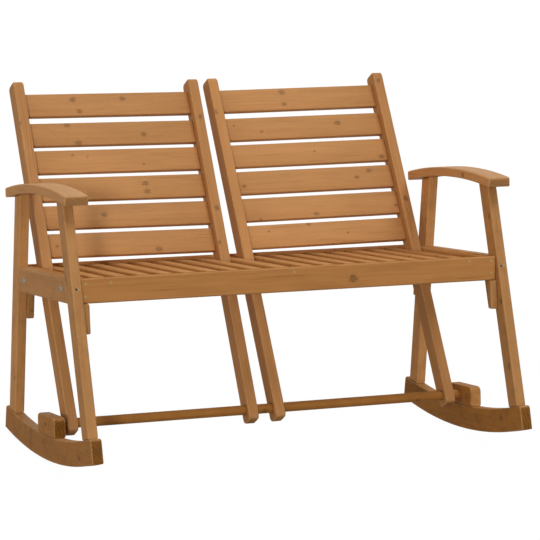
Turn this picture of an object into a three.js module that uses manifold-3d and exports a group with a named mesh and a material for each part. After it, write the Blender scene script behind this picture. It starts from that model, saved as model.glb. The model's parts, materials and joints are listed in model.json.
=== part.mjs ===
// Wooden rocking bench for two, in millimetres: X across the bench, Y to the rear, Z up.
// The timber is laid out in a bench frame whose origin is the middle of the seat's front top
// edge, and the whole bench then leans back on its rockers to the place where it comes to rest.

import * as THREE from 'three';
import { mergeVertices } from 'three/addons/utils/BufferGeometryUtils.js';
import Module from 'manifold-3d';

const wasm = await Module();
wasm.setup();

const degree = Math.PI / 180;

// Whole bench
const frameSpan = 1156;          // over the outer faces of the legs
const seatHeight = 462.5;          // seat's top above the rockers' lowest line, bench not leaning
const seatDepth = 502;           // front face of the front rail to rear face of the rear rail
const restLean = 5.8 * degree;   // puts the bench's own weight over its ground contact
const clearance = 0.3;           // joint gap between two pieces that touch
const easedEdge = 2.5;           // softened edge of every board
const cutOverrun = 5;            // how far a cutting shape reaches beyond the wood
const edgeSteps = 1;             // flats across a softened edge
const cornerSteps = 5;           // flats round an outline's rounded corner

// Rockers
const rockerThickness = 29;
const rockerRadius = 1600;       // underside
const rockerHeight = 61;
const rockerLowY = 205;          // lowest point, behind the seat's front face
const rockerFrontReach = 340.5;    // lowest point to the front end
const rockerRearReach = 360;
const rockerFacet = 30;          // length of one straight stretch of the sawn curve
const rockerCorner = 9;

// Legs
const legThickness = 26;
const legDepth = 47;
const frontLegLean = 14.9 * degree;
const frontLegReveal = 5;     // front leg's edge ahead of the front rail, at seat height
const rearLegLean = 10.2 * degree;
const rearLegInset = 88.5;       // rear leg's front edge ahead of the seat's rear face

// Arms
const armWidth = 61;
const armThickness = 23.8;
const armOverhang = 12.3;           // arm beyond the outer face of its legs
const armRadius = 1515;          // top
const armHeight = 217.3;           // crown above the seat
const armCrownY = 229;
const armFrontReach = 242;       // crown to the front end
const armRearReach = 244;
const armFacet = 26;
const armTopCorner = 9;          // tangent lengths of the ends' corners, in the side view
const armUnderCorner = 5;
const armPlanCorner = 10;         // and as seen from above

// Seat frame
const railHeight = 60.5;
const railThickness = 22;
const memberThickness = 23;
const bearerHeight = 22;
const bearerThickness = 22;
const stopHeight = 38;           // rear bearer, which the stiles lean against

// Seat slats
const slatDrop = 4.5;            // slat tops below the rail tops
const slatThickness = 17;
const slatWidth = 32;
const centreSlatWidth = 35;
const slatsPerSide = 8;
const slatToStile = 4.6;         // play between a stile and the slats beside it

// Cleats under the seat frame
const cleatThickness = 19.5;
const cleatDrop = 71.7;            // length of a cleat below the rails
const frontCleatSetback = 14.5;    // top of the cleat's face behind the front edge of its leg
const frontCleatDepth = 33;      // at the top
const frontCleatFootDepth = 18.5;
const rearCleatSetback = 0.5;
const rearCleatDepth = 16.5;
const rearCleatFootDepth = 16.5;

// Blocks on the rockers and the dowel between them
const blockThickness = 30;
const blockHeight = 51.6;
const blockAhead = 75;           // from the dowel's axis to the block's front end
const blockBehind = 58;
const blockCorner = 15;          // tangent length of its rounded top corners
const dowelRadius = 12.3;
const dowelSides = 32;
const socketDepth = 14;

// Backs
const backGap = 44.2;            // between the two backs
const stileThickness = 26.7;
const stileDepth = 48.8;
const stileLean = 25.8 * degree;
const backInset = 122.3;         // stile's front face ahead of the seat's rear face
const stileFootDrop = 29.7;        // stile's foot below the dowel's axis
const stileLength = 949.8;
const stileCorner = 14;
const memberToStile = 1.5;         // play between an outer stile and the side member
const backSlatsPerBack = 6;
const backSlatGap = 13.45;
const headSlatExtraGap = 6;      // the highest gap is this much wider than the others
const backSlatThickness = 16;
const backSlatSetback = 21.2;      // slat's face behind the stiles' front faces
const topSlatDrop = 29.8;        // highest slat's top edge below the stiles' tops
const lowSlatRise = 32.2;          // lowest slat's bottom edge above the seat, along the stile

// Play in the slots lets each back sit a little out of square: turned in its own plane, with
// its top towards the middle of the bench, and slid along the dowel (positive to the right).
const leftBackTurn = 0.6 * degree;
const leftBackSlide = -1.2;
const rightBackTurn = -0.46 * degree;
const rightBackSlide = 0.7;

// Bolts through the side rails
const boltRadius = 3;
const boltHeadRadius = 7;
const boltHeadHeight = 3;
const boltSides = 20;
const boltDrop = 28.5;           // bolt's axis below the rail tops
const frontBoltY = 72;           // front bolt's axis behind the seat's front face
const rearBoltInset = 134;       // rear bolt's axis ahead of the seat's rear face

// Places worked out from the sizes above
const legOuterX = frameSpan / 2;
const legInnerX = legOuterX - legThickness;
const legMiddleX = legOuterX - legThickness / 2;
const blockInnerX = legMiddleX - blockThickness / 2;
const memberOuterX = legInnerX - clearance;
const memberInnerX = memberOuterX - memberThickness;
const armOuterX = legOuterX + armOverhang;
const armMiddleX = armOuterX - armWidth / 2;
const rockerTopRadius = rockerRadius - rockerHeight;
const rockerCentreZ = rockerRadius - seatHeight;
const armCentreZ = armHeight - armRadius;
const armUnderRadius = armRadius - armThickness;
const innerStileX = backGap / 2 + stileThickness / 2;
const outerStileX = memberInnerX - memberToStile - stileThickness / 2;
const backMiddleX = (innerStileX + outerStileX) / 2;
const stileSpacing = outerStileX - innerStileX;
const dowelZ = rockerHeight - seatHeight + blockHeight / 2;
const rearBoltY = seatDepth - rearBoltInset;
const stileMiddleAtSeat = seatDepth - backInset + stileDepth / 2 / Math.cos(stileLean);
const dowelY = stileMiddleAtSeat + dowelZ * Math.tan(stileLean);

// Each sloping line runs in the side view through (y, 0) at the given lean from upright.
const frontLegFront = { y: -frontLegReveal, lean: frontLegLean };
const frontLegRear = { y: -frontLegReveal + legDepth / Math.cos(frontLegLean), lean: frontLegLean };
const rearLegFront = { y: seatDepth - rearLegInset, lean: -rearLegLean };
const rearLegRear = {
  y: seatDepth - rearLegInset + legDepth / Math.cos(rearLegLean),
  lean: -rearLegLean,
};

// Materials
const softwood = { roughness: 0.62, metalness: 0 };
const rockerWood = new THREE.MeshStandardMaterial({ color: 0x8f6238, ...softwood });
const legWood = new THREE.MeshStandardMaterial({ color: 0xa9764a, ...softwood });
const armWood = new THREE.MeshStandardMaterial({ color: 0xc2926a, ...softwood });
const seatWood = new THREE.MeshStandardMaterial({ color: 0xbd8a5c, ...softwood });
const backWood = new THREE.MeshStandardMaterial({ color: 0xb6804f, ...softwood });
const zincSteel = new THREE.MeshStandardMaterial({
  color: 0xa7a698,
  roughness: 0.4,
  metalness: 0.9,
});

// Turns an outline drawn in the side view (Y, Z), with its thickness along the third axis,
// so that the thickness lies across the bench.
const sideView = new THREE.Matrix4().makeBasis(
  new THREE.Vector3(0, 1, 0),
  new THREE.Vector3(0, 0, 1),
  new THREE.Vector3(1, 0, 0),
);

// Turns an outline drawn in the front view (X, Z) so that its thickness lies front to back.
const frontView = new THREE.Matrix4().makeBasis(
  new THREE.Vector3(1, 0, 0),
  new THREE.Vector3(0, 0, 1),
  new THREE.Vector3(0, -1, 0),
);

// Closed outline through corners of { x, y, round }, where round is the fillet's tangent length.
function outline(corners) {
  const shape = new THREE.Shape();
  corners.forEach((corner, index) => {
    const here = new THREE.Vector2(corner.x, corner.y);
    const before = corners[(index + corners.length - 1) % corners.length];
    const after = corners[(index + 1) % corners.length];
    const start = here.clone();
    const end = here.clone();
    if (corner.round) {
      const back = new THREE.Vector2(before.x, before.y).sub(here).setLength(corner.round);
      const forth = new THREE.Vector2(after.x, after.y).sub(here).setLength(corner.round);
      start.add(back);
      end.add(forth);
    }
    if (index === 0) shape.moveTo(start.x, start.y);
    else shape.lineTo(start.x, start.y);
    if (corner.round) shape.quadraticCurveTo(here.x, here.y, end.x, end.y);
  });
  shape.closePath();
  return shape;
}

function rectangle(width, height) {
  return outline([
    { x: -width / 2, y: -height / 2 },
    { x: width / 2, y: -height / 2 },
    { x: width / 2, y: height / 2 },
    { x: -width / 2, y: height / 2 },
  ]);
}

// A board of the given outline and thickness, with softened edges, centred on the outline.
function board(name, shape, thickness, view, material) {
  const geometry = new THREE.ExtrudeGeometry(shape, {
    depth: thickness - 2 * easedEdge,
    bevelThickness: easedEdge,
    bevelSize: easedEdge,
    bevelOffset: -easedEdge,
    bevelSegments: edgeSteps,
    curveSegments: cornerSteps,
  });
  geometry.translate(0, 0, easedEdge - thickness / 2);
  if (view) geometry.applyMatrix4(view);
  const mesh = new THREE.Mesh(geometry, material);
  mesh.name = name;
  return mesh;
}

// Point of an arc in the side view, at the given angle behind straight down.
function arcPoint(centreY, centreZ, radius, angle) {
  return { x: centreY + radius * Math.sin(angle), y: centreZ - radius * Math.cos(angle) };
}

// Where a sloping line crosses an arc, at its lower crossing (sign -1) or its upper (sign 1).
function lineMeetsArc(line, centreY, centreZ, radius, sign) {
  const direction = new THREE.Vector2(Math.sin(line.lean), Math.cos(line.lean));
  const toCentre = new THREE.Vector2(centreY - line.y, centreZ);
  const along = toCentre.dot(direction);
  const across = toCentre.cross(direction);
  const reach = along + sign * Math.sqrt(radius ** 2 - across ** 2);
  return { x: line.y + reach * direction.x, y: reach * direction.y };
}

function lineAtHeight(line, height) {
  return line.y + height * Math.tan(line.lean);
}

// Angles from front to rear along an arc, with one stretch centred on the middle angle.
function arcAngles(front, rear, middle, step) {
  const angles = [front];
  const first = Math.ceil((front - middle) / step);
  const last = Math.floor((rear - middle) / step);
  for (let index = first; index <= last; index += 1) {
    const angle = middle + (index + 0.5) * step;
    if (angle > front + step / 2 && angle < rear - step / 2) angles.push(angle);
  }
  angles.push(rear);
  return angles;
}

// Rocker: a sawn curve, flat where it touches the ground at rest
function rocker(name) {
  const front = -Math.asin(rockerFrontReach / rockerRadius);
  const rear = Math.asin(rockerRearReach / rockerRadius);
  const angles = arcAngles(front, rear, restLean, rockerFacet / rockerRadius);
  const under = angles.map((angle) => arcPoint(rockerLowY, rockerCentreZ, rockerRadius, angle));
  const top = angles.map((angle) => arcPoint(rockerLowY, rockerCentreZ, rockerTopRadius, angle));
  top[0].round = rockerCorner;
  top[top.length - 1].round = rockerCorner;
  return board(name, outline([...under, ...top.reverse()]), rockerThickness, sideView, rockerWood);
}

// Leg: its foot is cut to the rocker's top and its head to the underside of the arm
function leg(name, frontLine, rearLine) {
  const footRadius = rockerTopRadius - clearance;
  const headRadius = armUnderRadius - clearance;
  const shape = outline([
    lineMeetsArc(frontLine, rockerLowY, rockerCentreZ, footRadius, -1),
    lineMeetsArc(rearLine, rockerLowY, rockerCentreZ, footRadius, -1),
    lineMeetsArc(rearLine, armCrownY, armCentreZ, headRadius, 1),
    lineMeetsArc(frontLine, armCrownY, armCentreZ, headRadius, 1),
  ]);
  return board(name, shape, legThickness, sideView, legWood);
}

// Arm: a crowned board with rounded ends, whose corners are rounded as seen from above too
function arm(name) {
  const front = -Math.asin(armFrontReach / armRadius);
  const rear = Math.asin(armRearReach / armRadius);
  const angles = arcAngles(front, rear, 0, armFacet / armRadius);
  const top = angles.map((angle) => arcPoint(armCrownY, armCentreZ, -armRadius, -angle));
  const under = angles.map((angle) => arcPoint(armCrownY, armCentreZ, -armUnderRadius, -angle));
  for (const [edge, corner] of [[top, armTopCorner], [under, armUnderCorner]]) {
    edge[0].round = corner;
    edge[edge.length - 1].round = corner;
  }
  const mesh = board(name, outline([...under, ...top.reverse()]), armWidth, sideView, armWood);
  const frontY = armCrownY - armFrontReach;
  const rearY = armCrownY + armRearReach;
  const plan = outline([
    { x: -armWidth / 2, y: frontY, round: armPlanCorner },
    { x: armWidth / 2, y: frontY, round: armPlanCorner },
    { x: armWidth / 2, y: rearY, round: armPlanCorner },
    { x: -armWidth / 2, y: rearY, round: armPlanCorner },
  ]);
  const column = new THREE.ExtrudeGeometry(plan, {
    depth: armHeight + cutOverrun,
    bevelEnabled: false,
    curveSegments: cornerSteps,
  });
  mesh.geometry = geometryOf(solid(mesh.geometry).intersect(solid(column)));
  return mesh;
}

// Round hole in an outline, as a polygon with the given number of sides
function roundHole(x, y, radius, sides) {
  const hole = new THREE.Path();
  for (let index = 0; index < sides; index += 1) {
    const angle = -2 * Math.PI * index / sides;
    const corner = [x + radius * Math.cos(angle), y + radius * Math.sin(angle)];
    if (index === 0) hole.moveTo(...corner);
    else hole.lineTo(...corner);
  }
  hole.closePath();
  return hole;
}

function boltHole(y) {
  return roundHole(y, -boltDrop, boltRadius + clearance, boltSides);
}

// Side rail: fills the space between the two legs at seat height
function sideRail(name) {
  const frontGap = clearance / Math.cos(frontLegLean);
  const rearGap = clearance / Math.cos(rearLegLean);
  const shape = outline([
    { x: lineAtHeight(frontLegRear, -railHeight) + frontGap, y: -railHeight },
    { x: lineAtHeight(rearLegFront, -railHeight) - rearGap, y: -railHeight },
    { x: lineAtHeight(rearLegFront, 0) - rearGap, y: 0 },
    { x: lineAtHeight(frontLegRear, 0) + frontGap, y: 0 },
  ]);
  shape.holes.push(boltHole(frontBoltY), boltHole(rearBoltY));
  return board(name, shape, legThickness, sideView, legWood);
}

// Cleat: a short block on a leg's inner face, under the seat frame. Its rear face is parallel
// to the leg, and the front face may slope another way.
function cleat(name, frontLine, setback, topDepth, footDepth) {
  const top = -railHeight - clearance;
  const bottom = top - cleatDrop;
  const toRear = (setback + topDepth) / Math.cos(frontLine.lean);
  const topRear = lineAtHeight(frontLine, top) + toRear;
  const footRear = lineAtHeight(frontLine, bottom) + toRear;
  const shape = outline([
    { x: footRear - footDepth / Math.cos(frontLine.lean), y: bottom },
    { x: footRear, y: bottom },
    { x: topRear, y: top },
    { x: topRear - topDepth / Math.cos(frontLine.lean), y: top },
  ]);
  return board(name, shape, cleatThickness, sideView, legWood);
}

// Turns a mesh into a solid that can be cut.
function solid(geometry) {
  const bare = geometry.clone();
  bare.deleteAttribute('normal');
  bare.deleteAttribute('uv');
  const merged = mergeVertices(bare);
  return new wasm.Manifold(new wasm.Mesh({
    numProp: 3,
    vertProperties: new Float32Array(merged.attributes.position.array),
    triVerts: new Uint32Array(merged.index.array),
  }));
}

function geometryOf(manifold) {
  const mesh = manifold.getMesh();
  const geometry = new THREE.BufferGeometry();
  geometry.setAttribute('position', new THREE.BufferAttribute(mesh.vertProperties, 3));
  geometry.setIndex(new THREE.BufferAttribute(mesh.triVerts, 1));
  geometry.computeVertexNormals();
  return geometry;
}

// Block: stands on the rocker and holds one end of the dowel in a blind socket.
// Side is 1 for the right block and -1 for the left one.
function block(name, side) {
  const frontY = dowelY - blockAhead;
  const rearY = dowelY + blockBehind;
  const topZ = dowelZ + blockHeight / 2;
  const footRadius = rockerTopRadius - clearance;
  const foot = [frontY, (frontY + rearY) / 2, rearY].map((y) => (
    lineMeetsArc({ y, lean: 0 }, rockerLowY, rockerCentreZ, footRadius, -1)
  ));
  const shape = outline([
    ...foot,
    { x: rearY, y: topZ, round: blockCorner },
    { x: frontY, y: topZ, round: blockCorner },
  ]);
  const mesh = board(name, shape, blockThickness, sideView, rockerWood);
  const socket = new THREE.CylinderGeometry(
    dowelRadius + clearance,
    dowelRadius + clearance,
    socketDepth + cutOverrun,
    dowelSides,
  );
  socket.rotateZ(Math.PI / 2);
  const mouthX = -side * (blockThickness / 2);
  socket.translate(mouthX + side * (socketDepth - cutOverrun) / 2, dowelY, dowelZ);
  mesh.geometry = geometryOf(solid(mesh.geometry).subtract(solid(socket)));
  return mesh;
}

// Dowel: runs through the feet of the four stiles into the sockets of both blocks
function dowel(name) {
  const endX = blockInnerX + socketDepth - clearance;
  const geometry = new THREE.CylinderGeometry(dowelRadius, dowelRadius, 2 * endX, dowelSides);
  geometry.rotateZ(Math.PI / 2);
  const mesh = new THREE.Mesh(geometry, legWood);
  mesh.name = name;
  mesh.position.set(0, dowelY, dowelZ);
  return mesh;
}

// Bolt: a low round head outside the side rail and a shank into the side member.
// Side is 1 for a right bolt and -1 for a left one.
function bolt(name, side, y) {
  const shankLength = legThickness + clearance + memberThickness;
  const headBottom = clearance;
  const profile = [
    new THREE.Vector2(0, -shankLength),
    new THREE.Vector2(boltRadius, -shankLength),
    new THREE.Vector2(boltRadius, headBottom),
    new THREE.Vector2(boltHeadRadius, headBottom),
    new THREE.Vector2(boltHeadRadius, headBottom + boltHeadHeight / 2),
    new THREE.Vector2(boltHeadRadius - boltHeadHeight / 2, headBottom + boltHeadHeight),
    new THREE.Vector2(0, headBottom + boltHeadHeight),
  ];
  const geometry = new THREE.LatheGeometry(profile, boltSides);
  geometry.rotateZ(-side * Math.PI / 2);
  const mesh = new THREE.Mesh(geometry, zincSteel);
  mesh.name = name;
  mesh.position.set(side * legOuterX, y, -boltDrop);
  return mesh;
}

// Cross rail of the seat, standing on edge; frontY is its front face
function crossRail(name, frontY) {
  const mesh = board(name, rectangle(2 * memberOuterX, railHeight), railThickness, frontView, seatWood);
  mesh.position.set(0, frontY + railThickness / 2, -railHeight / 2);
  return mesh;
}

// Side member of the seat, between the front and rear rails, inside the legs
function sideMember(name) {
  const frontY = railThickness + clearance;
  const rearY = seatDepth - railThickness - clearance;
  const shape = outline([
    { x: frontY, y: -railHeight },
    { x: rearY, y: -railHeight },
    { x: rearY, y: 0 },
    { x: frontY, y: 0 },
  ]);
  shape.holes.push(boltHole(frontBoltY), boltHole(rearBoltY));
  return board(name, shape, memberThickness, sideView, seatWood);
}

// Bearer across the seat under the slats, between the side members
function bearer(name, frontY, height) {
  const span = 2 * (memberInnerX - clearance);
  const mesh = board(name, rectangle(span, height), bearerThickness, frontView, seatWood);
  const top = -slatDrop - slatThickness - clearance;
  mesh.position.set(0, frontY + bearerThickness / 2, top - height / 2);
  return mesh;
}

// Seat slat, from the front rail to the rear rail
function seatSlat(name, middleX, width) {
  const frontY = railThickness + clearance;
  const rearY = seatDepth - railThickness - clearance;
  const mesh = board(name, rectangle(width, rearY - frontY), slatThickness, null, seatWood);
  mesh.position.set(middleX, (frontY + rearY) / 2, -slatDrop - slatThickness / 2);
  return mesh;
}

// All seat slats: one in the middle, and a row on each side between the stiles
function seatSlats() {
  const innerEdge = innerStileX + stileThickness / 2 + slatToStile;
  const outerEdge = outerStileX - stileThickness / 2 - slatToStile;
  const pitch = (outerEdge - innerEdge - slatWidth) / (slatsPerSide - 1);
  const slats = [seatSlat('seat_slat_centre', 0, centreSlatWidth)];
  for (const [sideName, side] of [['left', -1], ['right', 1]]) {
    for (let index = 0; index < slatsPerSide; index += 1) {
      const middleX = side * (innerEdge + slatWidth / 2 + index * pitch);
      slats.push(seatSlat(`seat_slat_${sideName}_${index + 1}`, middleX, slatWidth));
    }
  }
  return slats;
}

// Stile of a back, bored for the dowel at boreHeight from its own origin
function stile(name, boreHeight) {
  const bottom = -stileFootDrop;
  const top = stileLength - stileFootDrop;
  const shape = outline([
    { x: -stileDepth / 2, y: bottom, round: stileCorner },
    { x: stileDepth / 2, y: bottom, round: stileCorner },
    { x: stileDepth / 2, y: top, round: stileCorner },
    { x: -stileDepth / 2, y: top, round: stileCorner },
  ]);
  shape.holes.push(roundHole(0, boreHeight, dowelRadius + clearance, dowelSides));
  return board(name, shape, stileThickness, sideView, backWood);
}

// One back: two stiles and the slats between them, leaning back about the dowel.
// Side is 1 for the right back and -1 for the left one.
function back(sideName, side, turn, slide) {
  const panel = new THREE.Group();
  for (const [place, outward] of [['inner', -1], ['outer', 1]]) {
    const distance = side * outward * stileSpacing / 2;
    const mesh = stile(`${sideName}_back_${place}_stile`, distance * Math.tan(turn));
    mesh.position.x = distance;
    panel.add(mesh);
  }
  const span = stileSpacing - stileThickness - 2 * clearance;
  const topEdge = stileLength - stileFootDrop - topSlatDrop;
  const seatEdge = -dowelZ / Math.cos(stileLean) - stileDepth / 2 * Math.tan(stileLean);
  const evenHeight = topEdge - headSlatExtraGap - seatEdge - lowSlatRise;
  const pitch = (evenHeight + backSlatGap) / backSlatsPerBack;
  const width = pitch - backSlatGap;
  for (let index = 0; index < backSlatsPerBack; index += 1) {
    const name = `${sideName}_back_slat_${index + 1}`;
    const mesh = board(name, rectangle(span, width), backSlatThickness, frontView, backWood);
    const drop = index * pitch + (index > 0 ? headSlatExtraGap : 0);
    mesh.position.y = backSlatSetback + (backSlatThickness - stileDepth) / 2;
    mesh.position.z = topEdge - width / 2 - drop;
    panel.add(mesh);
  }
  panel.position.x = side * backMiddleX + slide;
  panel.rotation.y = turn;
  const group = new THREE.Group();
  group.add(panel);
  group.position.set(0, dowelY, dowelZ);
  group.rotation.x = -stileLean;
  return group;
}

// Side frame: rocker, legs, arm, side rail, cleats, block and bolts of one side
function sideFrame(sideName, side) {
  const group = new THREE.Group();
  const wide = [
    rocker(`${sideName}_rocker`),
    leg(`${sideName}_front_leg`, frontLegFront, frontLegRear),
    leg(`${sideName}_rear_leg`, rearLegFront, rearLegRear),
    sideRail(`${sideName}_side_rail`),
    block(`${sideName}_dowel_block`, side),
  ];
  for (const mesh of wide) {
    mesh.position.x = side * legMiddleX;
    group.add(mesh);
  }
  const armBoard = arm(`${sideName}_arm`);
  armBoard.position.x = side * armMiddleX;
  group.add(armBoard);
  const cleats = [
    cleat(
      `${sideName}_front_cleat`,
      frontLegFront,
      frontCleatSetback,
      frontCleatDepth,
      frontCleatFootDepth,
    ),
    cleat(
      `${sideName}_rear_cleat`,
      rearLegFront,
      rearCleatSetback,
      rearCleatDepth,
      rearCleatFootDepth,
    ),
  ];
  for (const mesh of cleats) {
    mesh.position.x = side * (memberOuterX - cleatThickness / 2);
    group.add(mesh);
  }
  group.add(bolt(`${sideName}_front_bolt`, side, frontBoltY));
  group.add(bolt(`${sideName}_rear_bolt`, side, rearBoltY));
  return group;
}

// Seat unit: the two cross rails, side members, bearers and slats
function seatUnit() {
  const group = new THREE.Group();
  group.add(crossRail('seat_front_rail', 0));
  group.add(crossRail('seat_rear_rail', seatDepth - railThickness));
  for (const [sideName, side] of [['left', -1], ['right', 1]]) {
    const member = sideMember(`seat_${sideName}_member`);
    member.position.x = side * (memberOuterX - memberThickness / 2);
    group.add(member);
  }
  group.add(bearer('seat_front_bearer', railThickness + clearance, bearerHeight));
  const bearerTop = -slatDrop - slatThickness - clearance;
  const stileRearAtBearer = stileMiddleAtSeat
    + (stileDepth / 2 + clearance) / Math.cos(stileLean) + bearerTop * Math.tan(stileLean);
  group.add(bearer('seat_rear_bearer', stileRearAtBearer, stopHeight));
  group.add(...seatSlats());
  return group;
}

const bench = new THREE.Group();
bench.add(sideFrame('left', -1));
bench.add(sideFrame('right', 1));
bench.add(seatUnit());
bench.add(back('left', -1, leftBackTurn, leftBackSlide));
bench.add(back('right', 1, rightBackTurn, rightBackSlide));
bench.add(dowel('dowel'));
bench.rotation.x = -restLean;

// The origin is on the ground, under the middle of the whole bench.
const rockingBench = new THREE.Group();
rockingBench.add(bench);
const box = new THREE.Box3().setFromObject(rockingBench, true);
const middle = box.getCenter(new THREE.Vector3());
bench.position.set(-middle.x, -middle.y, -box.min.z);

export default rockingBench;
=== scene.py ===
import json
import math
import random

import bmesh
import bpy
import numpy as np
from mathutils import Matrix, Vector
from mathutils.bvhtree import BVHTree


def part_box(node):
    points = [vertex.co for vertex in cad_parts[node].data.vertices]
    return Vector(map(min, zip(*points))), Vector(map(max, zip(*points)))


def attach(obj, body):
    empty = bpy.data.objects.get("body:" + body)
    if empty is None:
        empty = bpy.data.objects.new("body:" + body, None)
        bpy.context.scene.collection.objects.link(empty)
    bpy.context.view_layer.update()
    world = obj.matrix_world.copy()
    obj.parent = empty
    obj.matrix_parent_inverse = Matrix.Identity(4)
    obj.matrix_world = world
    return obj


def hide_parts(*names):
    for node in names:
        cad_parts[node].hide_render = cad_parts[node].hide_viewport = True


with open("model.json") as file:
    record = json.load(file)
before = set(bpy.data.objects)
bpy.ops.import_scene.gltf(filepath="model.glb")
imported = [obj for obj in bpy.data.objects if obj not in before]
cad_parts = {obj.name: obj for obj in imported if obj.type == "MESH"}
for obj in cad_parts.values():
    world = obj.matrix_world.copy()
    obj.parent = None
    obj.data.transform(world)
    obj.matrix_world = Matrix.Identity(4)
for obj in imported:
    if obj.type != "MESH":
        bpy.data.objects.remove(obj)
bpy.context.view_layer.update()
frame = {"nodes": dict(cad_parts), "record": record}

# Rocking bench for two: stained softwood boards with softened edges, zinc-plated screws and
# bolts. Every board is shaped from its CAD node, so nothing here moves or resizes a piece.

MM = 0.001
SIDES = {"left": -1, "right": 1}           # and which way each side lies along x

# The bench's own frame: its origin is the middle of the seat's front top edge, and it leans
# back with the seat. The record's mount on the seat says where it is.
SEAT_MOUNT_Y = 251 * MM                    # the mount's place in the bench frame
SEAT_MOUNT_Z = -4.5 * MM
seat_mount = next(m for m in frame["record"]["mounts"] if m["name"] == "seat_top")
rest_lean = math.atan2(seat_mount["axis"][1], seat_mount["axis"][2])
bench = (
    Matrix.Translation(seat_mount["pos_m"])
    @ Matrix.Rotation(-rest_lean, 4, "X")
    @ Matrix.Translation((0, -SEAT_MOUNT_Y, -SEAT_MOUNT_Z))
)


# Colours and nodes

def linear(colour):
    """Scene-linear RGBA of a colour written as #RRGGBB."""
    channels = [int(colour[i:i + 2], 16) / 255 for i in (1, 3, 5)]
    return [c / 12.92 if c <= 0.04045 else ((c + 0.055) / 1.055) ** 2.4 for c in channels] + [1]


def add(tree, kind, inputs=None, **settings):
    """Adds a node. inputs maps a socket's name or number to its value, or to what feeds it."""
    node = tree.nodes.new(kind)
    for name, value in settings.items():
        setattr(node, name, value)
    for key, value in (inputs or {}).items():
        if isinstance(value, bpy.types.NodeSocket):
            tree.links.new(value, node.inputs[key])
        else:
            node.inputs[key].default_value = value
    return node


def maths(tree, operation, *values):
    """The result of a calculation with the values."""
    return add(tree, "ShaderNodeMath", dict(enumerate(values)), operation=operation).outputs[0]


def vector_maths(tree, operation, *values):
    """The same with vectors. A length comes out as a number, all else as a vector."""
    node = add(tree, "ShaderNodeVectorMath", dict(enumerate(values)), operation=operation)
    return node.outputs["Value" if operation == "LENGTH" else "Vector"]


def weighted(tree, start, *parts):
    """start plus each part times its weight. The parts are pairs of a value and a weight."""
    for value, weight in parts:
        start = maths(tree, "MULTIPLY_ADD", value, weight, start)
    return start


def ramp(tree, value, low, high, at_low, at_high):
    """A smooth passage from at_low, where the value is low, to at_high, where it is high."""
    inputs = {
        "Value": value, "From Min": low, "From Max": high, "To Min": at_low, "To Max": at_high,
    }
    return add(tree, "ShaderNodeMapRange", inputs, interpolation_type="SMOOTHSTEP").outputs[0]


def blend(tree, factor, first, second):
    """A colour that passes from the first at factor 0 to the second at factor 1."""
    inputs = {"Factor": factor, 6: first, 7: second}
    return add(tree, "ShaderNodeMix", inputs, data_type="RGBA").outputs[2]


def noise(tree, place, scale, detail, roughness=0.5):
    """A noise's outputs: number 0 is one value, and "Color" is three unlike ones."""
    inputs = {"Vector": place, "Scale": scale, "Detail": detail, "Roughness": roughness}
    return add(tree, "ShaderNodeTexNoise", inputs).outputs


def attribute(tree, name, output):
    """What mark_wood stores on the vertices under a name."""
    return add(tree, "ShaderNodeAttribute", attribute_name=name).outputs[output]


def cleared_tree(owner):
    """The node tree of a new material or world, emptied."""
    owner.use_nodes = True
    owner.node_tree.nodes.clear()
    return owner.node_tree


# Wood

# Sizes of the wood's figure, in pairs along and across the grain. Growth rings and fibres of
# real pine are finer than a pixel of the picture, so they are drawn as coarse as they need to
# be to show.
RING_WIDTH = 7 * MM
WAVE_RINGS = 20 / (2 * math.pi)            # how many rings a wave texture has in one unit
LATEWOOD_RISE = (0.3, 0.95)                # where in a ring the latewood begins and is full
FIBRE_SIZE = (120 * MM, 2.6 * MM)
FIBRE_FINENESS = 0.6                       # how much the finer fibres count
STREAK_SIZE = (130 * MM, 2 * MM)           # thin dark lines, few on a board
STREAK_RISE = (0.71, 0.8)                  # the higher, the fewer
STREAK_SEED = 3.0                          # keeps them unlike the fibres
BAND_SIZE = (420 * MM, 9 * MM)             # slow change of tone between a board's edges
CLOUD_SIZE = (180 * MM, 40 * MM)           # patches where the stain took more or less
CLOUD_TONES = (0.95, 1.05)
WARP_SIZE = (260 * MM, 60 * MM)            # how slowly the rings wander along a board
WARP_REACH = 16 * MM
SMUDGE = 30 * MM                           # soiled patches low on the bench
SMUDGE_RISE = (0.45, 0.75)
MIDDLING = (0.3, 0.7)                      # most of a noise's values are between these

# Knots. Distances are in knot radii from the middle.
KNOTS_ON_BOARD = 3
KNOT_STRETCH = 0.75                        # a knot's width over its length along the grain
KNOT_CORE = (0.55, 1.05)                   # where the core fades out
KNOT_RIM = 0.35                            # reach of the dark rim on both sides of 1
KNOT_HALO = (0.9, 2.4)                     # where the darker wood round it fades out
KNOT_FLOW = (0.8, 3.5)                     # where the rings cease to bend round it
KNOT_PUSH = 1.6 * RING_WIDTH               # how far they bend at most
RAGGED_SCALE = 260                         # lumps of a knot's outline in a metre
RAGGED_REACH = 0.5

# Rubbed edges, faces painted pale as painted light, and knots' rims are broken up by one noise.
BROKEN_SCALE = 150                         # patches in a metre
BROKEN_RIM = (0.4, 0.6, 0.15, 1)           # two values of it, and what is left of a rim there
BROKEN_PALE = (0.3, 0.8)
LEAST_PALE = 0.4                           # of the paling of rubbed edges and painted-light faces, where it is least

# How much each part of the figure counts where it is strongest
LATEWOOD_SHARE = 0.08
FIBRE_SHARE = 0.1
BAND_SHARE = 0.11
STREAK_SHARE = 0.6
CORE_SHARE = 0.4
RIM_SHARE = 0.65
HALO_SHARE = 0.1
END_SHARE = 0.85
END_RING_SHARE = 0.3

WOOD_ROUGHNESS = 0.5
FIBRE_ROUGHNESS = 0.18                     # added by the fibres
END_ROUGHNESS = 0.2                        # added by open end grain
LATEWOOD_RELIEF = 0.35                     # next to the fibres' relief of 1
KNOT_RELIEF = -0.5
RELIEF_DEPTH = 0.25 * MM
RELIEF_STRENGTH = 0.5
WOOD_IOR = 1.5

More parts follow.
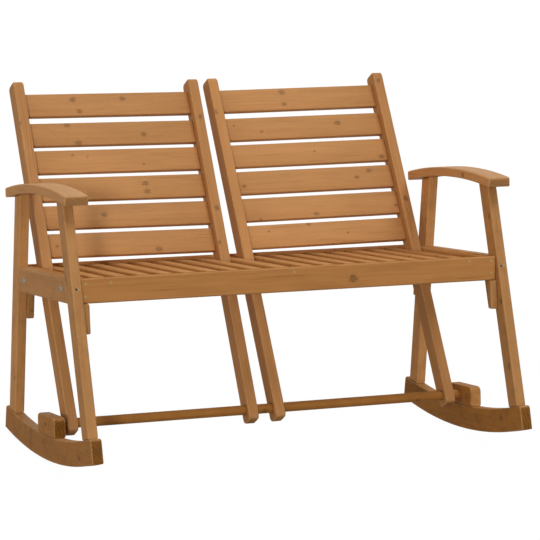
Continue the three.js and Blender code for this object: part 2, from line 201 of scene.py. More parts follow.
KNOT_COLOUR = "#543C26"
END_COLOUR = "#603806"
SOIL_COLOUR = "#3E2A16"
# Bare wood on rubbed edges, and painted light on the pale tops of some boards
WORN_AND_LIT_COLOUR = "#D3A473"


def stretched(tree, grain, length, width):
    """The grain's coordinates, so scaled that one unit is length along and width across."""
    return vector_maths(tree, "MULTIPLY", grain, (1 / length, 1 / width, 1 / width))


def knot_distance(tree, grain):
    """Distance to the nearest of the board's knots, in knot radii, with a ragged outline."""
    sizes = attribute(tree, "knot_sizes", "Vector")
    radii = add(tree, "ShaderNodeSeparateXYZ", {0: sizes}).outputs
    nearest = None
    for index in range(KNOTS_ON_BOARD):
        knot = attribute(tree, f"knot_{index + 1}", "Vector")
        apart = vector_maths(tree, "SUBTRACT", grain, knot)
        length = vector_maths(
            tree, "LENGTH", vector_maths(tree, "MULTIPLY", apart, (KNOT_STRETCH, 1, 1))
        )
        distance = maths(tree, "DIVIDE", length, radii[index])
        nearest = distance if nearest is None else maths(tree, "MINIMUM", nearest, distance)
    ragged = noise(tree, grain, RAGGED_SCALE, 2)[0]
    return weighted(
        tree, maths(tree, "SUBTRACT", nearest, RAGGED_REACH / 2), (ragged, RAGGED_REACH)
    )


def growth_rings(tree, grain, flow):
    """How much of each place is latewood, the dark part of a ring.

    The rings lie round a pith outside the board. They wander slowly, and bend round knots by
    the flow there.
    """
    wander = noise(tree, stretched(tree, grain, *WARP_SIZE), 1, 2)["Color"]
    centred = vector_maths(tree, "SUBTRACT", wander, (0.5, 0.5, 0.5))
    reach = (0, 2 * WARP_REACH, 2 * WARP_REACH)
    moved = vector_maths(tree, "MULTIPLY_ADD", centred, reach, grain)
    push = add(tree, "ShaderNodeCombineXYZ", {"Z": maths(tree, "MULTIPLY", flow, KNOT_PUSH)})
    rings = add(
        tree,
        "ShaderNodeTexWave",
        {
            "Vector": vector_maths(tree, "ADD", moved, push.outputs[0]),
            "Scale": 1 / (WAVE_RINGS * RING_WIDTH),
            "Distortion": 0,
        },
        wave_type="RINGS",
        rings_direction="X",
        wave_profile="SAW",
    ).outputs["Fac"]
    return ramp(tree, rings, *LATEWOOD_RISE, 0, 1)


def stained_pine(name, pale, dark, end_depth=0.5, soiling=0.0, wear_and_light=0.5, gloss=0.07):
    """Planed pine under a thin brown stain: satin, with faint rings, fibres and dull knots.

    Earlywood soaks up the stain evenly (pale), latewood and fibres stay darker (dark), and knots
    darkest. Open end grain drinks more of the stain (end_depth), and boards near the ground are
    soiled in patches (soiling). Its wear strength pales rubbed edges, where a little bare wood
    shows through, and the pale faces: painted light on the tops of rockers, arms and seat slats,
    and the thinly stained end of one block. gloss is how much of the thin finish is left: clothes
    have dulled the seat.
    """
    material = bpy.data.materials.new(name)
    tree = cleared_tree(material)
    grain = attribute(tree, "grain", "Vector")
    end = attribute(tree, "end", "Fac")
    broken = noise(tree, grain, BROKEN_SCALE, 0)[0]

    from_knot = knot_distance(tree, grain)
    core = ramp(tree, from_knot, *KNOT_CORE, 1, 0)
    halo = ramp(tree, from_knot, *KNOT_HALO, 1, 0)
    flow = ramp(tree, from_knot, *KNOT_FLOW, 1, 0)
    from_rim = maths(tree, "ABSOLUTE", maths(tree, "SUBTRACT", from_knot, 1.0))
    rim = maths(
        tree,
        "MULTIPLY",
        ramp(tree, from_rim, 0, KNOT_RIM, 1, 0),
        ramp(tree, broken, *BROKEN_RIM),
    )

    latewood = growth_rings(tree, grain, flow)
    fibre = noise(tree, stretched(tree, grain, *FIBRE_SIZE), 1, 3, FIBRE_FINENESS)[0]
    band = noise(tree, stretched(tree, grain, *BAND_SIZE), 1, 1)[0]
    cloud = noise(tree, stretched(tree, grain, *CLOUD_SIZE), 1, 2)[0]
    lines = add(
        tree,
        "ShaderNodeTexNoise",
        {"Vector": stretched(tree, grain, *STREAK_SIZE), "Scale": 1, "Detail": 0, "W": STREAK_SEED},
        noise_dimensions="4D",
    ).outputs[0]

    figure = weighted(
        tree,
        0.0,
        (latewood, LATEWOOD_SHARE),
        (ramp(tree, fibre, *MIDDLING, 0, 1), FIBRE_SHARE),
        (ramp(tree, band, *MIDDLING, 0, 1), BAND_SHARE),
        (ramp(tree, lines, *STREAK_RISE, 0, 1), STREAK_SHARE),
    )
    colour = blend(tree, figure, linear(pale), linear(dark))
    tone_and_light = attribute(tree, "tone_and_light", "Fac")
    shade = maths(tree, "MULTIPLY", tone_and_light, ramp(tree, cloud, *MIDDLING, *CLOUD_TONES))
    colour = add(tree, "ShaderNodeHueSaturation", {"Value": shade, "Color": colour}).outputs[0]
    knotted = weighted(tree, 0.0, (core, CORE_SHARE), (rim, RIM_SHARE), (halo, HALO_SHARE))
    colour = blend(tree, knotted, colour, linear(KNOT_COLOUR))
    soaked = weighted(tree, END_SHARE * end_depth, (latewood, END_RING_SHARE * end_depth))
    colour = blend(tree, maths(tree, "MULTIPLY", end, soaked), colour, linear(END_COLOUR))
    if soiling:
        patch = ramp(tree, noise(tree, grain, 1 / SMUDGE, 3)[0], *SMUDGE_RISE, 0, 1)
        patch = maths(tree, "MULTIPLY", patch, soiling)
        colour = blend(tree, patch, colour, linear(SOIL_COLOUR))
    # Pale colour on rubbed edges (bare wood) and on pale faces (painted light on some boards' tops)
    patchy_pale = ramp(tree, broken, *BROKEN_PALE, LEAST_PALE * wear_and_light, wear_and_light)
    pale_mark = maths(tree, "MULTIPLY", attribute(tree, "rubbed_and_lit_pale", "Fac"), patchy_pale)
    colour = blend(tree, pale_mark, colour, linear(WORN_AND_LIT_COLOUR))

    relief = weighted(tree, fibre, (latewood, LATEWOOD_RELIEF), (core, KNOT_RELIEF))
    bump = add(
        tree,
        "ShaderNodeBump",
        {"Strength": RELIEF_STRENGTH, "Distance": RELIEF_DEPTH, "Height": relief},
    )
    shader = add(
        tree,
        "ShaderNodeBsdfPrincipled",
        {
            "Base Color": colour,
            "Roughness": weighted(
                tree, WOOD_ROUGHNESS, (fibre, FIBRE_ROUGHNESS), (end, END_ROUGHNESS)
            ),
            "Normal": bump.outputs[0],
            "IOR": WOOD_IOR,
            "Specular IOR Level": gloss,
        },
    )
    add(tree, "ShaderNodeOutputMaterial", {"Surface": shader.outputs[0]})
    return material


# Steel

MOTTLE_SCALE = 900                         # patches of thin plating in a metre
MOTTLE_DEPTH = 0.05 * MM
MOTTLE_STRENGTH = 0.3
STEEL_ROUGHNESS = (0.34, 0.52)             # where the plating is thick, and where it is thin


def zinc_plated_steel(name, bright, dull):
    """Pressed steel under dull zinc: a soft-edged shine, slightly mottled where the plating is
    thin. Clear plating leaves it a cool grey, and yellow plating an olive gold."""
    material = bpy.data.materials.new(name)
    tree = cleared_tree(material)
    place = add(tree, "ShaderNodeTexCoord").outputs["Object"]
    mottle = noise(tree, place, MOTTLE_SCALE, 3)[0]
    smooth, rough = STEEL_ROUGHNESS
    roughness = add(
        tree, "ShaderNodeMapRange", {"Value": mottle, "To Min": smooth, "To Max": rough}
    )
    bump = add(
        tree,
        "ShaderNodeBump",
        {"Strength": MOTTLE_STRENGTH, "Distance": MOTTLE_DEPTH, "Height": mottle},
    )
    shader = add(
        tree,
        "ShaderNodeBsdfPrincipled",
        {
            "Base Color": blend(tree, mottle, linear(bright), linear(dull)),
            "Metallic": 1,
            "Roughness": roughness.outputs[0],
            "Normal": bump.outputs[0],
        },
    )
    add(tree, "ShaderNodeOutputMaterial", {"Surface": shader.outputs[0]})
    return material


WOODS = {
    "rocker_wood": stained_pine(
        "stained_sawn_pine_rockers", "#A87031", "#7E4B18", end_depth=0.75, soiling=0.3, wear_and_light=0.6
    ),
    "leg_wood": stained_pine(
        "stained_planed_pine_legs", "#B88450", "#8E5B29", soiling=0.15, wear_and_light=0.45
    ),
    "arm_wood": stained_pine("stained_planed_pine_arms", "#C6915D", "#9C6532"),
    "seat_wood": stained_pine(
        "stained_planed_pine_seat", "#C98B50", "#9A612B", end_depth=0.4, gloss=0.0
    ),
    "back_wood": stained_pine("stained_planed_pine_backs", "#C38A53", "#986132", end_depth=0.1),
}
dowel_pine = stained_pine("stained_turned_pine_dowel", "#AA7136", "#82501F", soiling=0.1)
bare_pine = stained_pine("bare_drilled_pine", "#EBD2AE", "#D6B080", end_depth=0.0)
zinc_steel = zinc_plated_steel("zinc_plated_steel", "#9A9E98", "#5C605B")
yellow_zinc_steel = zinc_plated_steel("yellow_zinc_plated_steel", "#CFC285", "#776D3E")
aged_zinc_steel = zinc_plated_steel("aged_yellow_zinc_plated_steel", "#6E6A48", "#3A3722")


# How each board differs from its neighbours

# Faces painted pale, by board: which way they look, along, across and through it, and how pale.
# On the rockers and arms this is painted light on their tops; on the right dowel block, its
# thinly stained end
PALE_FACES_WORN_AND_LIT = {
    "right_dowel_block": (-1, 0, 0, 0.6),
    "left_rocker": (0, 1, 0, 1.0),
    "right_rocker": (0, 1, 0, 0.4),
    "left_arm": (0, 0, -1, 0.9),
    "right_arm": (0, 0, -1, 0.3),
}
SEAT_PAINTED_TOP_LIGHT = (0, 0, -1, 0.8)                # painted light on the seat slats' tops
NO_PALE_FACE = (0, 0, 0, 0)

# Brightness of boards that took the stain less, or more, than others. The rear legs' brightening
# is painted light: it stands in for light the lamps don't give them
STAIN_TONES_AND_PAINTED_LIGHT = {
    "left_rear_leg": 1.22,
    "right_rear_leg": 1.25,
    "left_back_outer_stile": 0.93,
    "left_back_inner_stile": 0.94,
    "right_back_inner_stile": 1.05,
    "right_back_outer_stile": 0.94,
    "seat_front_rail": 0.81,
}
SEAT_TONE = 1.08                           # of all seat slats
TONE_SPREAD = (0.955, 1.045)               # chance differences on top of that

# Where a board's middle lies from the pith of its tree: along the grain in metres, across and
# through the board in mm
PITH_ALONG = (-2, 2)
PITH_ACROSS = (-60, 60)
PITH_THROUGH = (45, 110)

# Knots in view, by board: place along, across and through it from its middle, and radius, mm
KNOTS = {
    "left_back_slat_1": [(-94, 14, 8, 5.5), (42, 15, 8, 5), (-81, -19, 8, 5)],
    "left_back_slat_2": [(-121, 25, 8, 5.5), (-97, -26, 8, 6), (83, -6, 8, 5)],
    "left_back_slat_3": [(-119, 17, 8, 2.5), (-80, 12, 8, 2.2), (70, -13, 8, 2.4)],
    "left_back_slat_4": [(64, 9, 8, 5.4), (66, -13, 8, 5.6)],
    "left_back_slat_5": [(-60, 2, 8, 5)],
    "left_back_slat_6": [(71, -21, 8, 5.5), (-199, -3, 8, 3)],
    "right_back_slat_1": [(-42, 19, 8, 6), (-42, -16, 8, 5)],
    "right_back_slat_2": [(100, 6, 8, 5.5), (-123, -10, 8, 3), (-198, 10, 8, 2.4)],
    "right_back_slat_3": [(16, 3, 8, 2.4), (207, -21, 8, 5)],
    "right_back_slat_4": [(122, 0, 8, 4.2), (161, 17, 8, 5), (-205, -10, 8, 4)],
    "right_back_slat_5": [(-17, -22, 8, 4.4), (-177, -31, 8, 3.5), (218, -10, 8, 4)],
    "right_back_slat_6": [(-45, 28, 8, 4.5), (-161, 13, 8, 2.4), (62, -3, 8, 2.4)],
    "left_back_inner_stile": [(102, -24, -1, 4.5), (7, -24, 9, 3.5), (362, -24, -2, 4.5)],
    "right_back_inner_stile": [(374, -24, 11, 4.5)],
    "right_back_outer_stile": [(447, -24, 3, 4), (100, -24, 0, 5)],
    "right_front_leg": [(195, -11, 13, 4.5), (-191, -9, 13, 5.5), (-26, -12, 13, 5)],
    "left_rear_leg": [(-195, -14, 13, 3.4)],
    "right_arm": [(-94, -30, -5, 5)],
    "seat_front_rail": [(157, -6, 11, 7.5)],
    "right_rocker": [(-232, 6, -14, 7)],
    "left_rocker": [(-253, -9, -14, 5), (-74, -10, -14, 3)],
}
HIDDEN_KNOT_RADII = (2.2, 4.5)             # mm

# How squarely a surface has to look along the board to be end grain, or the way of its pale face
# to be painted pale: not at all below the first cosine, and fully from the second
END_TILT = (0.6, 0.95)
PALE_FACE_TILT = (0.7, 0.9)
ARRIS_TILT = 1 - math.sqrt(0.5)            # 1 less the cosine halfway between two faces


def corner_points(node):
    """The places of a CAD node's vertices."""
    return np.array([v.co for v in frame["nodes"][node].data.vertices])


def board_axes(points):
    """Directions along, across and through a board, its middle in them, and its size.

    They are the directions of its greatest, middle and least spread. The first two point the
    way of their largest part, and the third follows from them.
    """
    points = np.unique(points.round(6), axis=0)
    axes = np.linalg.eigh(np.cov(points.T))[1].T[::-1]
    axes *= np.sign(axes[np.arange(3), np.abs(axes).argmax(1)])[:, None]
    axes[2] = np.cross(axes[0], axes[1])
    local = points @ axes.T
    return axes, (local.min(0) + local.max(0)) / 2, np.ptp(local, axis=0)


def put(mesh, name, values):
    """Stores a number or a vector for each vertex under the given name."""
    values = np.asarray(values, np.float32)
    kind, key = ("FLOAT_VECTOR", "vector") if values.ndim == 2 else ("FLOAT", "value")
    mesh.attributes.new(name, kind, "POINT").data.foreach_set(key, values.ravel())


def rise(value, low, high):
    """0 up to low, 1 from high on, and a straight rise between them."""
    return np.clip((value - low) / (high - low), 0, 1)


def board_knots(node, size, draw):
    """A board's knots, each a place from its middle and a radius: first those in view, then
    others by chance, on the face away from the first."""
    knots = [np.array(knot) * MM for knot in KNOTS.get(node, [])]
    while len(knots) < KNOTS_ON_BOARD:
        knots.append(np.array([
            draw.uniform(-0.45, 0.45) * size[0],
            draw.uniform(-0.5, 0.5) * size[1],
            -0.5 * size[2] * math.copysign(1, knots[0][2] if knots else draw.uniform(-1, 1)),
            draw.uniform(*HIDDEN_KNOT_RADII) * MM,
        ]))
    return knots


def mark_wood(mesh, nodes, boards):
    """Gives each board its own grain, tone, knots, dark ends, rubbed edges and pale faces; the pale
    tops and the rear legs' brightness are painted light.

    nodes are the CAD nodes that the mesh stands for, and boards has the number of its node
    for each vertex.
    """
    count = len(mesh.vertices)
    places, normals = np.zeros(count * 3), np.zeros(count * 3, np.float32)
    mesh.vertices.foreach_get("co", places)
    mesh.vertex_normals.foreach_get("vector", normals)
    places, normals = places.reshape(-1, 3), normals.reshape(-1, 3)
    vectors = ["grain", "knot_sizes"] + [f"knot_{n + 1}" for n in range(KNOTS_ON_BOARD)]
    marks = {name: np.zeros((count, 3)) for name in vectors}
    marks |= {name: np.zeros(count) for name in ("tone_and_light", "end", "rubbed_and_lit_pale")}
    for index, node in enumerate(nodes):
        mine = boards == index
        axes, middle, size = board_axes(corner_points(node))
        draw = random.Random(node)
        from_pith = np.array([
            draw.uniform(*PITH_ALONG),
            draw.uniform(*PITH_ACROSS) * MM,
            draw.uniform(*PITH_THROUGH) * MM,
        ])
        marks["grain"][mine] = places[mine] @ axes.T - middle + from_pith

        on_seat = node.startswith("seat_slat")
        tone_and_light = SEAT_TONE if on_seat else STAIN_TONES_AND_PAINTED_LIGHT.get(node, 1)
        marks["tone_and_light"][mine] = draw.uniform(*TONE_SPREAD) * tone_and_light

        looks = normals[mine] @ axes.T
        # Pale faces: painted light on the tops of rockers, arms and seat slats; on the right dowel
        # block, its thinly stained end
        *way, paleness = SEAT_PAINTED_TOP_LIGHT if on_seat else PALE_FACES_WORN_AND_LIT.get(node, NO_PALE_FACE)
        pale_mark = rise(looks @ way, *PALE_FACE_TILT)
        edge = rise(1 - np.abs(looks).max(1), 0, ARRIS_TILT) * (node != "dowel")
        marks["rubbed_and_lit_pale"][mine] = np.maximum(edge, paleness * pale_mark)
        marks["end"][mine] = rise(np.abs(looks[:, 0]), *END_TILT) * (1 - pale_mark)

        for number, knot in enumerate(board_knots(node, size, draw)):
            marks[f"knot_{number + 1}"][mine] = knot[:3] + from_pith
            marks["knot_sizes"][mine, number] = knot[3]
    for name, values in marks.items():
        put(mesh, name, values)


# Boards

EDGE_ROUND = 1.1 * MM                      # rounds the two lines of each softened CAD edge
EDGE_STEPS = 2
SLAT_EDGE_ROUND = 2.5 * MM
SLAT_EDGE_STEPS = 3
MERGE_DISTANCE = 0.01 * MM
FLAT_ANGLE = math.radians(0.2)             # CAD triangles closer to one plane are one face
SHARP_ANGLE = math.radians(30)             # edges sharper than this are rounded
BORE_RADIUS = 5 * MM
BORE_DEPTH = 9 * MM
ROUND_SIDES = 24                           # of a drilled hole and of a fastener's head


def new_object(name, data):
    """Adds an object with the given data to the scene."""
    obj = bpy.data.objects.new(name, data)
    bpy.context.scene.collection.objects.link(obj)
    return obj


def finished(obj, name):
    """A plain mesh object with obj's modifiers applied; obj itself is removed."""
    graph = bpy.context.evaluated_depsgraph_get()
    mesh = bpy.data.meshes.new_from_object(obj.evaluated_get(graph))
    source = obj.data
    bpy.data.objects.remove(obj)
    bpy.data.meshes.remove(source)
    mesh.name = name
    return new_object(name, mesh)


def soften(obj, width, segments):
    """Rounds the sharp edges and keeps the flat faces looking flat."""
    bevel = obj.modifiers.new("rounded edges", "BEVEL")
    bevel.width = width
    bevel.segments = segments
    bevel.limit_method = "ANGLE"
    bevel.angle_limit = SHARP_ANGLE
    obj.modifiers.new("flat faces", "WEIGHTED_NORMAL").keep_sharp = False
    obj.data.shade_smooth()


def bore(obj, place, normal):
    """Drills a hole into a board at a place on its face; returns the cutter, to be removed."""
    shape = bmesh.new()
    bmesh.ops.create_cone(
        shape, cap_ends=True, segments=ROUND_SIDES, radius1=BORE_RADIUS, radius2=BORE_RADIUS,
        depth=2 * BORE_DEPTH, matrix=normal.to_track_quat("Z", "Y").to_matrix().to_4x4(),
    )
    bmesh.ops.translate(shape, verts=shape.verts, vec=place)
    for face in shape.faces:
        face.material_index = 1            # the board's second material lines the hole
    mesh = bpy.data.meshes.new("bore")
    shape.to_mesh(mesh)
    shape.free()
    cutter = new_object("bore", mesh)
    cut = obj.modifiers.new("bore", "BOOLEAN")
    cut.operation = "DIFFERENCE"
    cut.object = cutter
    return cutter


def board_piece(node, slot, finish=None, bores=()):
    """One board, shaped as its CAD node, with rounded edges and holes at the given bores.

    It has its slot's wood, or the finish. Holes in the legs show bare wood, and those in the
    blocks stained wood.
    """
    shape = bmesh.new()
    shape.from_mesh(frame["nodes"][node].data)
    bmesh.ops.remove_doubles(shape, verts=shape.verts, dist=MERGE_DISTANCE)
    bmesh.ops.dissolve_limit(
        shape, angle_limit=FLAT_ANGLE, verts=shape.verts, edges=shape.edges
    )
    mesh = bpy.data.meshes.new(node)
    shape.to_mesh(mesh)
    shape.free()
    mesh.materials.clear()
    mesh.materials.append(finish or WOODS[slot])
    obj = new_object(node + "_draft", mesh)
    cutters = []
    if bores:
        mesh.materials.append(bare_pine if slot == "leg_wood" else WOODS[slot])
        cutters = [bore(obj, place, normal) for place, normal in bores]
    soften(obj, EDGE_ROUND, EDGE_STEPS)
    piece = finished(obj, node + "_board")
    for cutter in cutters:
        bpy.data.meshes.remove(cutter.data)
    mark_wood(piece.data, [node], np.zeros(len(piece.data.vertices), int))
    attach(piece, "root")
    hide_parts(node)


def new_group(name, sizes, counts=()):
    """A geometry node group for copies on points, and what it is given: the points, sizes,
    counts and a finish."""
    tree = bpy.data.node_groups.new(name, "GeometryNodeTree")
    sockets = [("Geometry", "Geometry")]
    sockets += [(size, "Float") for size in sizes] + [(number, "Int") for number in counts]
    for socket, kind in sockets + [("Finish", "Material")]:
        tree.interface.new_socket(socket, in_out="INPUT", socket_type="NodeSocket" + kind)
    tree.interface.new_socket("Geometry", in_out="OUTPUT", socket_type="NodeSocketGeometry")
    return tree, add(tree, "NodeGroupInput").outputs


def end_group(tree, copies, finish):
    """Makes the copies real, gives them the finish and hands them out."""
    real = add(tree, "GeometryNodeRealizeInstances", {"Geometry": copies})
    coated = add(
        tree, "GeometryNodeSetMaterial", {"Geometry": real.outputs[0], "Material": finish}
    )
    add(tree, "NodeGroupOutput", {"Geometry": coated.outputs[0]})


def boards_on_points():
    """Node tree: one board of the given size on each point, numbered in 'board'."""
    tree, given = new_group("boards on points", ("Length", "Width", "Thickness"))
    size = add(
        tree,
        "ShaderNodeCombineXYZ",
        {0: given["Length"], 1: given["Width"], 2: given["Thickness"]},
    )
    cube = add(tree, "GeometryNodeMeshCube", {"Size": size.outputs[0]})
    placed = add(
        tree,
        "GeometryNodeInstanceOnPoints",
        {"Points": given["Geometry"], "Instance": cube.outputs[0]},
    )
    numbered = add(
        tree,
        "GeometryNodeStoreNamedAttribute",
        {"Geometry": placed.outputs[0], "Name": "board"},
        data_type="INT",
        domain="INSTANCE",
    )
    value = next(s for s in numbered.inputs if s.name == "Value" and s.enabled)
    tree.links.new(add(tree, "GeometryNodeInputIndex").outputs[0], value)
    end_group(tree, numbered.outputs[0], given["Finish"])
    return tree


def use_tree(obj, tree, **values):
    """Adds the node tree as a modifier, with its inputs set by name."""
    modifier = obj.modifiers.new(tree.name, "NODES")
    modifier.node_group = tree
    for item in tree.interface.items_tree:
        if item.in_out == "INPUT" and item.name in values:
            modifier[item.identifier] = values[item.name]


def slat_row(name, nodes, slot, tree):
    """A row of equal slats, one for each CAD node."""
    axes, _, size = board_axes(corner_points(nodes[0]))
    length, width, thickness = map(float, size)
    middles = []
    for node in nodes:
        local = corner_points(node) @ axes.T
        middles.append(tuple((local.min(0) + local.max(0)) / 2))
    points = bpy.data.meshes.new(name)
    points.from_pydata(middles, [], [])
    obj = new_object(name + "_draft", points)
    use_tree(
        obj, tree, Length=length, Width=width, Thickness=thickness, Finish=WOODS[slot]
    )
    soften(obj, SLAT_EDGE_ROUND, SLAT_EDGE_STEPS)
    piece = finished(obj, name)
    piece.data.shade_smooth()
    boards = np.zeros(len(piece.data.vertices), np.int32)
    piece.data.attributes["board"].data.foreach_get("value", boards)
    piece.data.transform(Matrix(axes.T).to_4x4())
    mark_wood(piece.data, nodes, boards)
    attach(piece, "root")
    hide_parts(*nodes)


def surface_spot(node, start, toward, sink=0):
    """A place on a board, and which way the surface faces there.

    It is where a line from start (mm) towards the given direction, both in the bench frame,
    first meets the node, sunk into it by sink mm.
    """
    shape = frame["nodes"][node].data
    tree = BVHTree.FromPolygons(
        [v.co for v in shape.vertices], [tuple(p.vertices) for p in shape.polygons]
    )
    origin = bench @ (Vector(start) * MM)
    place, normal, _, _ = tree.ray_cast(origin, (bench.to_3x3() @ Vector(toward)).normalized())
    return place - normal * sink * MM, normal


# Places of holes and fasteners are in the bench frame, in mm, each on a line from outside.
AWAY = 800                                 # a line's start outside the bench
REARWARD = (0, 1, 0)
RIGHTWARD = (1, 0, 0)
LEG_BOLT_X = 564.2
LEG_BOLT_Z = -23
BLOCK_PIN_YZ = (222, -372.5)

bores = {}
for side, sign in SIDES.items():
    leg, block = f"{side}_front_leg", f"{side}_dowel_block"
    bores[leg] = [surface_spot(leg, (sign * LEG_BOLT_X, -AWAY, LEG_BOLT_Z), REARWARD)]
    bores[block] = [surface_spot(block, (sign * AWAY, *BLOCK_PIN_YZ), (-sign, 0, 0))]

SIDE_BOARDS = {
    "rocker": "rocker_wood",
    "dowel_block": "rocker_wood",
    "front_leg": "leg_wood",
    "rear_leg": "leg_wood",
    "side_rail": "leg_wood",
    "front_cleat": "leg_wood",
    "rear_cleat": "leg_wood",
    "arm": "arm_wood",
    "back_inner_stile": "back_wood",
    "back_outer_stile": "back_wood",
}
for side in SIDES:
    for part, slot in SIDE_BOARDS.items():
        node = f"{side}_{part}"
        board_piece(node, slot, bores=bores.get(node, ()))
    board_piece(f"seat_{side}_member", "seat_wood")
for node in ("seat_front_rail", "seat_rear_rail", "seat_front_bearer", "seat_rear_bearer"):
    board_piece(node, "seat_wood")
board_piece("dowel", "leg_wood", dowel_pine)

row_tree = boards_on_points()
slat_row("middle_seat_slat", ["seat_slat_centre"], "seat_wood", row_tree)
for side in SIDES:
    seat_nodes = [f"seat_slat_{side}_{number}" for number in range(1, 9)]
    slat_row(f"{side}_seat_slats", seat_nodes, "seat_wood", row_tree)
    back_nodes = [f"{side}_back_slat_{number}" for number in range(1, 7)]
    slat_row(f"{side}_back_slats", back_nodes, "back_wood", row_tree)


# Screws, pins and bolts

SMALL_SCREW = {
    "Radius": 3.8 * MM, "Crown Radius": 3.2 * MM, "Height": 1.4 * MM,
    "Recess Radius": 2.7 * MM, "Recess Waist": 1.2 * MM, "Recess Depth": 1.3 * MM,
    "Recess Points": 4,
}
PIN = {
    "Radius": 2 * MM, "Crown Radius": 1.5 * MM, "Height": 0.8 * MM,
    "Recess Radius": 0.8 * MM, "Recess Waist": 0.4 * MM, "Recess Depth": 0.4 * MM,
    "Recess Points": 4,
}
BUTTON_BOLT = {
    "Radius": 7 * MM, "Crown Radius": 5 * MM, "Height": 3 * MM,
    "Recess Radius": 3.6 * MM, "Recess Waist": 3.6 * MM, "Recess Depth": 2.5 * MM,
    "Recess Points": 3,                    # a star of 3 with no waist is a hexagon
}
SCREW_SINK = 0.9                           # how deep a head's foot is in the wood, mm
PIN_SINK = 0.3

RAIL_SCREWS_XZ = (
    (-539, -12.5), (-540, -43.1), (-475.3, -12.8), (-1, -12.3), (477.1, -9.5), (539.5, -11.3),
    (539, -43),
)
SINGLE_PINS = (                            # board, a line's start, and its direction
    ("right_rocker", (0, 506.6, -375.8), RIGHTWARD),
    ("right_rear_leg", (566.2, 300, -376), REARWARD),
    ("right_back_outer_stile", (0, 233.1, -358.9), RIGHTWARD),
    ("right_front_leg", (571, -AWAY, -363.7), REARWARD),
)
SLAT_PINS_YZ = ((431, 45), (416, 17))      # in the lowest slats' ends, through the stiles


def heads_on_points():
    """Node tree: a pressed head with a recess on each point, facing along its 'aim' and turned
    by its 'turn'."""
    tree, given = new_group(
        "heads on points",
        ("Radius", "Crown Radius", "Height", "Recess Radius", "Recess Waist", "Recess Depth"),
        counts=("Recess Points",),
    )
    head = add(
        tree,
        "GeometryNodeMeshCone",
        {
            "Vertices": ROUND_SIDES,
            "Side Segments": 1,
            "Radius Top": given["Crown Radius"],
            "Radius Bottom": given["Radius"],
            "Depth": given["Height"],
        },
    )
    star = add(
        tree,
        "GeometryNodeCurveStar",
        {
            "Points": given["Recess Points"],
            "Inner Radius": given["Recess Waist"],
            "Outer Radius": given["Recess Radius"],
        },
    )
    floor = maths(tree, "SUBTRACT", given["Height"], given["Recess Depth"])
    above = maths(tree, "MULTIPLY", given["Height"], 2.0)
    path = add(
        tree,
        "GeometryNodeCurvePrimitiveLine",
        {
            "Start": add(tree, "ShaderNodeCombineXYZ", {"Z": floor}).outputs[0],
            "End": add(tree, "ShaderNodeCombineXYZ", {"Z": above}).outputs[0],
        },
    )
    cutter = add(
        tree,
        "GeometryNodeCurveToMesh",
        {"Curve": path.outputs[0], "Profile Curve": star.outputs[0], "Fill Caps": True},
    )
    cut = add(
        tree,
        "GeometryNodeMeshBoolean",
        {"Mesh 1": head.outputs["Mesh"], "Mesh 2": cutter.outputs[0]},
        operation="DIFFERENCE",
    )
    aim = add(tree, "GeometryNodeInputNamedAttribute", {"Name": "aim"}, data_type="FLOAT_VECTOR")
    turn = add(tree, "GeometryNodeInputNamedAttribute", {"Name": "turn"}, data_type="FLOAT")
    spun = add(
        tree,
        "FunctionNodeEulerToRotation",
        {0: add(tree, "ShaderNodeCombineXYZ", {"Z": turn.outputs[0]}).outputs[0]},
    )
    turned = add(
        tree,
        "FunctionNodeAlignRotationToVector",
        {"Rotation": spun.outputs[0], "Vector": aim.outputs[0]},
        axis="Z",
    )
    placed = add(
        tree,
        "GeometryNodeInstanceOnPoints",
        {"Points": given["Geometry"], "Instance": cut.outputs[0], "Rotation": turned.outputs[0]},
    )
    end_group(tree, placed.outputs[0], given["Finish"])
    return tree


def head_piece(name, spots, sizes, finish=zinc_steel, nodes=()):
    """All fasteners of one kind as one piece. sizes are head_tree's inputs, in metres, and
    nodes the CAD nodes that the piece stands for, if any."""
    points = bpy.data.meshes.new(name)
    points.from_pydata([tuple(place) for place, _ in spots], [], [])
    put(points, "aim", [tuple(aim) for _, aim in spots])
    draw = random.Random(name)
    put(points, "turn", [draw.uniform(0, math.pi) for _ in spots])
    obj = new_object(name + "_draft", points)
    use_tree(obj, head_tree, Finish=finish, **sizes)
    piece = finished(obj, name)
    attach(piece, "root")
    if nodes:
        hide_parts(*nodes)


head_tree = heads_on_points()
rail_spots = [
    surface_spot("seat_front_rail", (x, -AWAY, z), REARWARD, SCREW_SINK)
    for x, z in RAIL_SCREWS_XZ
]
head_piece("front_rail_screws", rail_spots, SMALL_SCREW, yellow_zinc_steel)

joint_spots = [
    (place - normal * BORE_DEPTH, normal) for spots in bores.values() for place, normal in spots
]
head_piece("joint_screws", joint_spots, SMALL_SCREW, aged_zinc_steel)

pin_spots = [surface_spot(*pin, PIN_SINK) for pin in SINGLE_PINS]
for side, sign in SIDES.items():
    for y, z in SLAT_PINS_YZ:
        for stile, x, toward in (("outer", sign * AWAY, -sign), ("inner", 0, sign)):
            pin_spots.append(
                surface_spot(f"{side}_back_{stile}_stile", (x, y, z), (toward, 0, 0), PIN_SINK)
            )
head_piece("pins", pin_spots, PIN)

bolt_spots, bolt_nodes = [], []
for side, sign in SIDES.items():
    for end in ("front", "rear"):
        low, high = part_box(f"{side}_{end}_bolt")
        place = (low + high) / 2
        place.x = (high.x if sign > 0 else low.x) - sign * BUTTON_BOLT["Height"]
        bolt_spots.append((place, Vector((sign, 0, 0))))
        bolt_nodes.append(f"{side}_{end}_bolt")
head_piece("side_rail_bolts", bolt_spots, BUTTON_BOLT, nodes=bolt_nodes)


# Camera

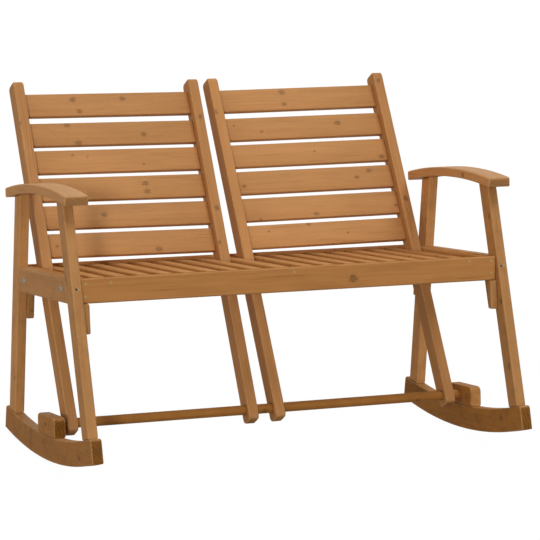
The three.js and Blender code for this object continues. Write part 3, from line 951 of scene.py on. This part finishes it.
CAMERA_PLACE = (-2.6243, -6.4284, 1.6809)  # metres
CAMERA_YAW = math.radians(22.515)          # to the right of straight at the bench's front
CAMERA_PITCH = math.radians(10.142)        # downwards
CAMERA_ROLL = math.radians(1.015)          # the photograph leans a little
CAMERA_LENS = 185.33                       # mm
CAMERA_SENSOR = 36                         # width and height of the square frame, mm

lens = bpy.data.cameras.new("camera")
lens.lens = CAMERA_LENS
lens.sensor_width = CAMERA_SENSOR
camera = new_object("camera", lens)
camera.matrix_world = (
    Matrix.Translation(CAMERA_PLACE)
    @ Matrix.Rotation(-CAMERA_YAW, 4, "Z")
    @ Matrix.Rotation(math.pi / 2 - CAMERA_PITCH, 4, "X")
    @ Matrix.Rotation(CAMERA_ROLL, 4, "Z")
)
bpy.context.scene.camera = camera


# Light

SKY_LEVEL = 0.35                           # even light from all round

# Azimuth to the right and height, in degrees, level, softness in degrees, and colour
LAMPS = {
    "key lamp": (35, 60, 0.46, 26, "#EAF1FF"),
    "front lamp": (-27.7, 8, 0.31, 6, "#FFFFFF"),
    "side lamp": (-80, 7, 0.16, 40, "#FFF0D0"),
    "rear lamp": (160, 35, 0.16, 60, "#FFFFFF"),
}

for name, (azimuth, height, level, softness, colour) in LAMPS.items():
    light = bpy.data.lights.new(name, "SUN")
    light.energy = level * math.pi         # so that a surface facing it gets its level
    light.angle = math.radians(softness)
    light.color = linear(colour)[:3]
    lamp = new_object(name, light)
    lamp.rotation_euler = (math.radians(90 - height), 0, math.radians(azimuth))


# White studio

WHITE = (1, 1, 1, 1)
FLOOR_HALF = 40                            # metres
FLOOR_GAP = 0.5 * MM                       # under the rockers
FLOOR_GREY = (0.3, 0.3, 0.3, 1)            # what it gives back of the light

# The camera sees mostly the floor's own glow, so that it is white with a faint shadow.
FLOOR_GLOW = 1.14
FLOOR_GLOW_SHARE = 0.86


def white_seen(tree):
    """1 where the camera, a reflection or glass looks straight at it, and 0 for light."""
    path = add(tree, "ShaderNodeLightPath").outputs
    seen = path["Is Camera Ray"]
    for other in ("Is Glossy Ray", "Is Transmission Ray"):
        seen = maths(tree, "MAXIMUM", seen, path[other])
    return seen


def shader_mix(tree, factor, first, second):
    """The first shader at factor 0, the second at 1, and a mix between."""
    inputs = {0: factor, 1: first.outputs[0], 2: second.outputs[0]}
    return add(tree, "ShaderNodeMixShader", inputs).outputs[0]


world = bpy.data.worlds.new("white studio")
bpy.context.scene.world = world
tree = cleared_tree(world)
sky = add(tree, "ShaderNodeBackground", {"Color": WHITE, "Strength": SKY_LEVEL})
backdrop = add(tree, "ShaderNodeBackground", {"Color": WHITE, "Strength": 1})
mixed = shader_mix(tree, white_seen(tree), sky, backdrop)
add(tree, "ShaderNodeOutputWorld", {"Surface": mixed})

paper = bpy.data.materials.new("white paper floor")
tree = cleared_tree(paper)
lit = add(tree, "ShaderNodeBsdfDiffuse", {"Color": FLOOR_GREY})
glow = add(tree, "ShaderNodeEmission", {"Strength": FLOOR_GLOW})
mixed = shader_mix(tree, maths(tree, "MULTIPLY", white_seen(tree), FLOOR_GLOW_SHARE), lit, glow)
add(tree, "ShaderNodeOutputMaterial", {"Surface": mixed})
floor_mesh = bpy.data.meshes.new("floor")
floor_mesh.from_pydata(
    [(x * FLOOR_HALF, y * FLOOR_HALF, -FLOOR_GAP) for x, y in ((-1, -1), (1, -1), (1, 1), (-1, 1))],
    [],
    [(0, 1, 2, 3)],
)
floor_mesh.materials.append(paper)
new_object("floor", floor_mesh)

bpy.context.scene.view_settings.view_transform = "Standard"
